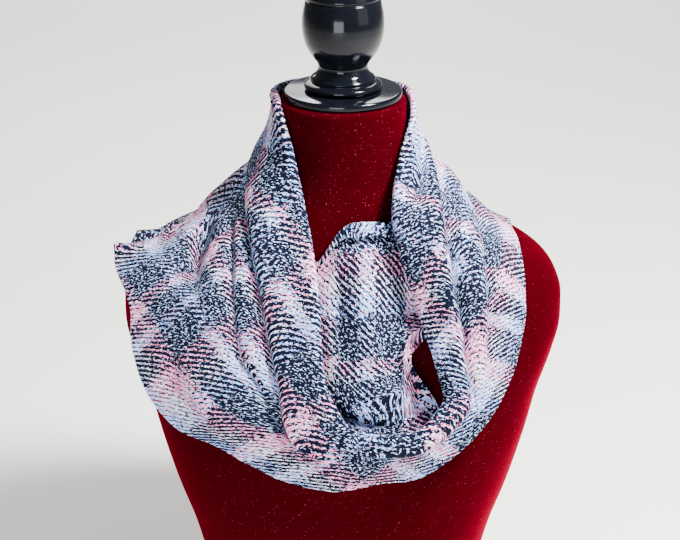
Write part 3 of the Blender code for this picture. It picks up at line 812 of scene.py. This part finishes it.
innerRound = {
    "name": "innerRound",
    "nodes": ("inner_front", "inner_back"),
    "flat": (0.081, 0.626),
    "rollsIn": -1,
    "steps": (50, 20),
    "sections": (
        ((0, 61, -44), (0, 64, -60), (0, 71, -78), (0, 80, -94)),
        ((-38, 47, -44), (-41, 50, -60), (-47, 56, -78), (-56, 64, -94)),
        ((-60, 5, -48), (-64, 6, -64), (-74, 7, -82), (-90, 8, -95)),
        ((-50, -38, -66), (-58, -50, -89), (-74, -66, -112), (-94, -78, -136)),
        ((-34, -72, -104), (-38, -90, -144), (-44, -105, -192), (-50, -120, -240)),
        ((-22, -83, -122), (-24, -99, -165), (-22, -114, -207), (-18, -128, -252)),
        ((-1, -76, -95), (-2, -101, -145), (-1, -119, -197), (2, -134, -256)),
        ((15, -71, -91), (20, -103, -142), (26, -121, -196), (30, -135, -256)),
        ((30, -68, -93), (36, -94, -141), (39, -115, -205), (78, -113, -244)),
        ((44, -62, -94), (49, -84, -131), (49, -100, -169), (55, -108, -198)),
        ((55, -57, -94), (63, -73, -121), (66, -84, -151), (67, -94, -181)),
        ((59, -38, -80), (73, -47, -100), (82, -62, -125), (90, -77, -152)),
        ((60, -10, -58), (67, -14, -75), (79, -18, -88), (96, -22, -98)),
        ((60, 5, -48), (64, 6, -64), (74, 7, -82), (90, 8, -95)),
        ((38, 47, -44), (41, 50, -60), (47, 56, -78), (56, 64, -94)),
    ),
    "lines": (
        (0, 0.55), (4.4, 0.80), (6.0, 0.88), (7.0, 0.84), (8.4, 0.76), (10.2, 0.88), (11.4, 0.8),
        (15, 0.55),
    ),
    "folds": {
        "ridgeRight": (
            ((6.4, 0.86), (7.1, 0.79), (7.7, 0.75), (8.6, 0.75), (9.6, 0.81), (10.4, 0.87),
             (11.6, 0.90)),
            -7, 7, 9, 0, 0, (8, -12), -6),
        "hollowRight": (
            ((7.0, 0.93), (7.8, 0.90), (8.6, 0.91), (9.4, 0.96)),
            8, 8, 8, 0, 0, (0, 0), 5),
        "poolFold": (
            ((4.4, 0.80), (5.2, 0.85), (6.0, 0.89), (7.0, 0.935), (8.0, 0.955)),
            7, 9, 8, 4, 2.0, (12, 14), 6),
    },
    "waves": {
        "panelEdge": (((0.1, 5.98), (0.7, 5.9)), -5, 7, 5),
        "panelRecess": (((0.2, 9.4), (0.5, 9.5), (0.8, 9.6)), -9, 14, 14),
    },
    "roll": (
        (0, 2.6, 1), (5.6, 2.6, 1), (6.4, 3.8, 11), (8.5, 3.4, 10), (9.4, 2.6, 1), (15, 2.6, 1),
    ),
    "tuck": None,
    "strokeTurn": None,
    "levelPlaces": (5, 8),
    "strokesTilted": True,
    "checkTurn": 0.0,
    "checkShift": (-21.0, -36.0),
}


def acrossSection(control, s):
    # points on each section's curve, at a row of shares of the way from rim to hem
    knots = (0.0, 1 / 3, 2 / 3, 1.0)
    total = 0
    for k, knot in enumerate(knots):
        weight = np.ones_like(s)
        for other in knots:
            if other != knot:
                weight = weight * (s - other) / (knot - other)
        total = total + weight[..., None] * control[:, k][:, None, :]
    return total


def fadeEnds(path, value, width):
    # 1 along a path and 0 beyond its ends, unless they are the rim or the hem
    first, last = path[0][0], path[-1][0]
    rise = 1 if first == 0 else smoothStep((value - first) / width)
    fall = 1 if last == 1 else smoothStep((last - value) / width)
    return rise * fall


def rounded(distance):
    return np.sqrt(distance ** 2 + cloth["creaseRound"] ** 2) - cloth["creaseRound"]


def alongPath(path, at):
    return easedCurve(*zip(*path), at)


def foldShift(folds, t, s, length, count):
    # how far each point is lifted off the base form, moved towards the hem, and the print's jump
    lift = np.zeros(s.shape)
    shift = np.zeros(s.shape)
    jump = np.zeros(s.shape + (2,))
    room = np.clip(length / cloth["narrow"], cloth["leastDepth"], 1)[:, None]
    for path, depth, rimReach, hemReach, step, lean, hidden, dip in folds.values():
        for turn in (0, count):
            at = t + turn
            fade = fadeEnds(path, at, cloth["fade"])[:, None]
            q = (s - alongPath(path, at)[:, None]) * length[:, None]
            slope = np.exp(-rounded(q) / np.where(q < 0, rimReach, hemReach))
            far = np.exp(np.minimum(q, 0) / (cloth["stepReach"] * rimReach))
            edge = (0.5 - 0.5 * np.tanh(q / cloth["edge"])) * far
            lift += (step * edge - depth * slope) * fade * room
            shift += lean * edge * fade * room
            slow = fadeEnds(path, at, cloth["printFade"])[:, None]
            jump += (q > 0)[..., None] * slow[..., None] * np.array(hidden, float)
            jump[..., 1] += dip * np.exp(-np.abs(q) / cloth["dipReach"]) * fade
    return lift, shift, jump


def waveShift(waves, t, s, pace, count):
    lift = np.zeros(s.shape)
    for path, height, before, after in waves.values():
        centre = alongPath(path, s)
        fade = fadeEnds(path, s, cloth["waveFade"])
        for turn in (0, count):
            q = (t[:, None] + turn - centre) * pace
            lift += height * fade * np.exp(-rounded(q) / np.where(q < 0, before, after))
    return lift


def gatheredColumns(table, steps, t, count):
    # shares from rim to hem for each place, closer together at the crease lines
    table = np.array(table, float)
    at = np.mod(t, count)
    lines = [np.zeros(len(t))]
    lines += [easedCurve(table[:, 0], table[:, k], at) for k in range(1, table.shape[1])]
    lines.append(np.ones(len(t)))
    columns = [lines[0][:, None]]
    for before, after, number in zip(lines, lines[1:], steps):
        for k in range(1, number + 1):
            share = k / number - cloth["gather"] * math.sin(2 * math.pi * k / number)
            columns.append((before + (after - before) * share)[:, None])
    return np.concatenate(columns, axis=1)


def facing(grid):
    return unit(np.cross(np.gradient(grid, axis=1), np.gradient(grid, axis=0)))


def rollSize(table, t, count):
    table = np.array(table, float)
    places = np.concatenate((table[:, 0] - count, table[:, 0], table[:, 0] + count))
    return [np.interp(t, places, np.tile(table[:, k], 3)) for k in (1, 2)]


def tuckShift(tuck, t, s, pace):
    # how far the tuck lifts each point, and moves it along the loop
    q = (t[:, None] - tuck["place"] - tuck["slant"] * s) * pace
    fade = smoothStep((tuck["share"] - s) / tuck["fade"]) * np.exp(np.minimum(q, 0) / tuck["reach"])
    over = (0.5 - 0.5 * np.tanh(q / tuck["edge"])) * fade
    groove = tuck["groove"] * np.exp(-np.abs(q) / tuck["grooveReach"]) * fade
    return tuck["height"] * over - groove, tuck["lean"] * over


def ripples(wall):
    return np.array([
        [sum(noise.noise(Vector((x + shift, y, z)) / size) * height
             for size, height, shift in cloth["ripples"]) for x, y, z in row]
        for row in wall])


def turnBy(vectors, c, s):
    x, y = vectors[..., 0], vectors[..., 1]
    return np.stack((c * x - s * y, s * x + c * y), axis=-1)


def flatten(base):
    # lays a grid of points out flat with as little stretch as it can: positions in mm
    rows, columns = base.shape[:2]
    points = base.reshape(-1, 3)
    faces = []
    for i in range(rows - 1):
        for j in range(columns - 1):
            a, b = i * columns + j, i * columns + j + 1
            c, d = b + columns, a + columns
            faces += [(a, b, c), (a, c, d)] if (i + j) % 2 else [(a, b, d), (b, c, d)]
    faces = np.array(faces)
    edgeA = points[faces[:, 1]] - points[faces[:, 0]]
    edgeB = points[faces[:, 2]] - points[faces[:, 0]]
    x1 = np.linalg.norm(edgeA, axis=1)
    axisX = edgeA / x1[:, None]
    x2 = (edgeB * axisX).sum(1)
    y2 = np.linalg.norm(edgeB - axisX * x2[:, None], axis=1)
    local = np.zeros((len(faces), 3, 2))
    local[:, 1, 0] = x1
    local[:, 2] = np.stack((x2, y2), axis=1)
    # a first layout that keeps angles
    count = len(points)
    system = np.zeros((2 * len(faces), 2 * count))
    rowIndex = np.arange(len(faces))
    area = np.sqrt(np.maximum(x1 * y2, 1e-9))
    for k in range(3):
        opposite = local[:, (k + 2) % 3] - local[:, (k + 1) % 3]
        re, im = opposite[:, 0] / area, opposite[:, 1] / area
        vertex = faces[:, k]
        for row, column, value in ((0, 0, re), (0, count, -im), (1, 0, im), (1, count, re)):
            system[2 * rowIndex + row, column + vertex] += value
    middle = columns // 2
    pinA, pinB = (rows // 3) * columns + middle, (2 * rows // 3) * columns + middle
    far = float(np.linalg.norm(points[pinA] - points[pinB]))
    fixed = {pinA: 0.0, count + pinA: 0.0, pinB: far, count + pinB: 0.0}
    free = np.array([k for k in range(2 * count) if k not in fixed])
    right = -sum(system[:, k] * value for k, value in fixed.items())
    solved = np.linalg.lstsq(system[:, free], right, rcond=None)[0]
    flat = np.zeros(2 * count)
    flat[free] = solved
    for k, value in fixed.items():
        flat[k] = value
    flat = flat.reshape(2, count).T
    # then rounds that let every face keep its size, turned as it lies
    pairs = np.concatenate([faces[:, [0, 1]], faces[:, [1, 2]], faces[:, [2, 0]]])
    rest = np.concatenate([local[:, (k + 1) % 3] - local[:, k] for k in range(3)])
    owner = np.tile(np.arange(len(faces)), 3)
    lengths = np.zeros((count, count))
    for a, b, value in ((0, 0, 1.0), (1, 1, 1.0), (0, 1, -1.0), (1, 0, -1.0)):
        np.add.at(lengths, (pairs[:, a], pairs[:, b]), value)
    lengths[0, 0] += 1.0
    inverse = np.linalg.inv(lengths)
    for _ in range(cloth["flattenRounds"]):
        now = flat[pairs[:, 1]] - flat[pairs[:, 0]]
        same = np.zeros(len(faces))
        turned = np.zeros(len(faces))
        np.add.at(same, owner, (now * rest).sum(1))
        np.add.at(turned, owner, rest[:, 0] * now[:, 1] - rest[:, 1] * now[:, 0])
        size = np.hypot(same, turned) + 1e-9
        c, s = (same / size)[owner], (turned / size)[owner]
        wanted = turnBy(rest, c, s)
        load = np.zeros((count, 2))
        np.add.at(load, pairs[:, 1], wanted)
        np.add.at(load, pairs[:, 0], -wanted)
        load[0] += flat[0]
        flat = inverse @ load
    return flat.reshape(rows, columns, 2)


def levelled(flat, base, first, last):
    # turns the flat layout so that its level runs as the cloth's does, seen from the front
    tilt = math.radians(90 - studio["cameraPitch"])
    height = base[..., 2] * math.cos(tilt) + base[..., 1] * math.sin(tilt)
    seen = np.stack((base[..., 0], height), axis=-1)
    a = flat[first:last].reshape(-1, 2)
    b = seen[first:last].reshape(-1, 2)
    a, b = a - a.mean(0), b - b.mean(0)
    best = None
    for mirror in (1.0, -1.0):
        m = a * (1.0, mirror)
        same, turned = (m * b).sum(), (m[:, 0] * b[:, 1] - m[:, 1] * b[:, 0]).sum()
        if best is None or math.hypot(same, turned) > best[0]:
            best = (math.hypot(same, turned), mirror, math.atan2(turned, same))
    _, mirror, angle = best
    return turnBy(flat * (1.0, mirror), math.cos(angle), math.sin(angle))


def turnedLayout(layout, turns, t):
    # turns the layout a little at each place, and carries the turn on along the loop
    angle = np.radians(alongPath(turns, t))
    c, s = np.cos(angle), np.sin(angle)
    spine = layout[:, layout.shape[1] // 2]
    step = turnBy(np.diff(spine, axis=0), (c[1:] + c[:-1]) / 2, (s[1:] + s[:-1]) / 2)
    fixed = len(t) // 2
    walked = np.concatenate([np.zeros((1, 2)), np.cumsum(step, axis=0)])
    walked += spine[fixed] - walked[fixed]
    return walked[:, None] + turnBy(layout - spine[:, None], c[:, None], s[:, None])


def printLayout(plan, t, s, count):
    # where each point lies on the flat print, worked out on a coarse copy of the unfolded form
    coarseT = np.arange(0, count * 2 + 1) / 2
    knots = np.linspace(0, 1, cloth["flatColumns"])
    coarseS = np.tile(knots, (len(coarseT), 1))
    coarse = acrossSection(throughRows(plan["sections"], coarseT), coarseS)
    first, last = plan["levelPlaces"]
    flat = levelled(flatten(coarse), coarse, first * 2, last * 2)
    flatRows = throughRows(flat, np.clip(t, 0, count) * 2, closed=False)
    layout = np.empty(s.shape + (2,))
    for i in range(len(t)):
        for axis in (0, 1):
            layout[i, :, axis] = easedCurve(knots, flatRows[i, :, axis], s[i])
    return turnedLayout(layout, plan["strokeTurn"], t) if plan["strokeTurn"] else layout


def printPlaces(plan, strokes, grid, rimColumns):
    before = strokes[:, 1:2] - strokes[:, :1]
    before = before / (np.linalg.norm(before, axis=2, keepdims=True) + 1e-9)
    steps = np.linalg.norm(np.diff(grid[:, :rimColumns + 1], axis=1), axis=2)
    back = np.cumsum(steps[:, ::-1], axis=1)[:, ::-1]
    strokes = np.concatenate([strokes[:, :1] - before * back[..., None], strokes], axis=1)
    x, y = strokes[..., 0], strokes[..., 1]
    angle = math.radians(plan["checkTurn"])
    c, s = math.cos(angle), math.sin(angle)
    check = np.stack((x * c - y * s, -x * s - y * c), axis=-1) + np.array(plan["checkShift"])
    if plan["strokesTilted"]:
        strokes = np.stack(((x - y) / math.sqrt(2), (x + y) / math.sqrt(2)), axis=-1)
    return strokes, check


def withRolledRim(plan, base, wall, normal, down, travel, radius, lip):
    # rolls the wall's rim over, with a lip behind it; the base is the wall before its folds
    rimWay = unit(np.gradient(base[:, 0], axis=0))[:, None]
    out = plan["rollsIn"] * normal[:, :1]
    alongWall = down[:, :1] - rimWay * (down[:, :1] * rimWay).sum(axis=2, keepdims=True)
    slant = np.linalg.norm(alongWall, axis=2, keepdims=True)
    alongWall = alongWall / slant
    travel = travel * slant  # taken square to the rim
    ease = np.exp(-(travel / (3 * radius)) ** 2)
    wall = wall + ease * radius * (out + alongWall)
    centre = wall[:, :1] - out * radius
    rim = []
    for angle in np.radians(cloth["rimAngles"]):
        rim.append(centre + radius * (out * math.cos(angle) - alongWall * math.sin(angle)))
    lipRows = [rim[0] + alongWall * lip * share for share in cloth["lipShares"]]
    return np.concatenate(lipRows + rim + [wall], axis=1), travel


def buildRound(plan):
    count = len(plan["sections"])
    perPlace = cloth["rowsPerPlace"]
    rows = count * perPlace
    t = np.arange(-perPlace, rows + perPlace + 1) / perPlace
    s = gatheredColumns(plan["lines"], plan["steps"], t, count)
    base = acrossSection(throughRows(plan["sections"], t), s)
    normal = facing(base)
    down = unit(np.gradient(base, axis=1))
    onward = unit(np.gradient(base, axis=0))
    length = np.linalg.norm(np.diff(base, axis=1), axis=2).sum(axis=1)
    pace = np.linalg.norm(np.gradient(base, t, axis=0), axis=2)
    lift, shift, jump = foldShift(plan["folds"], t, s, length, count)
    lift += waveShift(plan["waves"], t, s, pace, count)
    push = np.zeros(s.shape)
    if plan["tuck"]:
        tuckLift, push = tuckShift(plan["tuck"], t, s, pace)
        lift += tuckLift
    strokeLift = np.stack((np.zeros(s.shape), cloth["printLift"] * lift), axis=-1)
    strokes = printLayout(plan, t, s, count) - strokeLift + jump
    lift += ripples(base)
    wall = base + normal * lift[..., None] + down * shift[..., None] + onward * push[..., None]
    radius, lip = (value[:, None, None] for value in rollSize(plan["roll"], t, count))
    grid, travel = withRolledRim(
        plan, base, wall, normal, down, (s * length[:, None])[..., None], radius, lip)
    # the cloth can't turn more sharply than it is thick
    rimColumns = grid.shape[1] - wall.shape[1]
    easing = cloth["easeStrength"]
    for _ in range(cloth["easing"]):
        plain = grid[:, rimColumns - 3:]
        grid[:, rimColumns - 2:-1] += easing * (plain[:, :-2] - 2 * plain[:, 1:-1] + plain[:, 2:])
        grid[1:-1] += easing * (grid[:-2] - 2 * grid[1:-1] + grid[2:])
    # where the lip and the wall lie over each other, the outer of the two has room for both
    near = smoothStep((lip + 2 * radius - travel)[..., 0] / 3.0)
    angles = np.radians((180,) * len(cloth["lipShares"]) + cloth["rimAngles"])
    share = (1 + plan["rollsIn"] * np.cos(angles)) / 2
    wallShare = 1.0 if plan["rollsIn"] > 0 else 0.0
    over = np.concatenate([np.tile(share, (len(t), 1)), near * wallShare], axis=1)
    both = (cloth["thickness"] + cloth["lipRoom"]) * over
    grid = clearOfForm(grid, cloth["rest"] + cloth["thickness"] / 2 + both)
    turned = facing(grid)
    calm = 0.5 * smoothStep(travel / (4 * radius))
    turned[:, rimColumns:] = unit(turned[:, rimColumns:] * (1 - calm) + normal * calm)
    strokes, check = printPlaces(plan, strokes, grid, rimColumns)
    keep = slice(perPlace, perPlace + rows + 1)
    clothPiece(plan, grid[keep], turned[keep], strokes[keep], check[keep])


def clothPiece(plan, grid, normal, strokes, check):
    # a closed wall of even thickness round a ring-shaped grid, with a rounded fold at the hem
    half = cloth["thickness"] / 2
    rows = grid.shape[0] - 1
    onward = unit(grid[:, -1] - grid[:, -2])
    hemTurn = []
    for angle in np.radians((45, 90, 135)):
        way = normal[:, -1] * math.cos(angle) + onward * math.sin(angle)
        hemTurn.append(grid[:, -1] + half * way)
    ring = np.concatenate(
        [grid + normal * half, np.stack(hemTurn, axis=1), (grid - normal * half)[:, ::-1]], axis=1)
    uvLists = []
    for values in (strokes, check):
        hemValues = np.repeat(values[:, -1:], 3, axis=1)
        uvLists.append(np.concatenate([values, hemValues, values[:, ::-1]], axis=1) / 100.0)
    around = ring.shape[1]
    verts = ring[:rows].reshape(-1, 3)
    verts = np.column_stack((verts[:, :2] * mm, (verts[:, 2] + capHeight) * mm))
    i, j = np.meshgrid(np.arange(rows), np.arange(around), indexing="ij")
    nextRow, nextColumn = i + 1, (j + 1) % around
    # 4 corners x 2 x rows x around
    corners = np.stack(((i, j), (i, nextColumn), (nextRow, nextColumn), (nextRow, j)), axis=0)
    index = (corners[:, 0] % rows) * around + corners[:, 1]
    faces = index.reshape(4, -1).T
    mesh = bpy.data.meshes.new(plan["name"])
    mesh.from_pydata(verts.tolist(), [], faces.tolist())
    for name, values in zip(("strokes", "plaid"), uvLists):
        layer = mesh.uv_layers.new(name=name)
        picked = values[corners[:, 0], corners[:, 1]].reshape(4, -1, 2).transpose(1, 0, 2)
        layer.data.foreach_set("uv", picked.reshape(-1).astype(np.float32))
    mesh.shade_smooth()
    mesh.materials.append(flannelMaterial)
    faceOutward(mesh)
    piece = addToScene(plan["name"], mesh)
    standFor(piece, plan["nodes"])


buildRound(outerRound)
print("the outer round is draped")
buildRound(innerRound)
print("the inner round is draped")
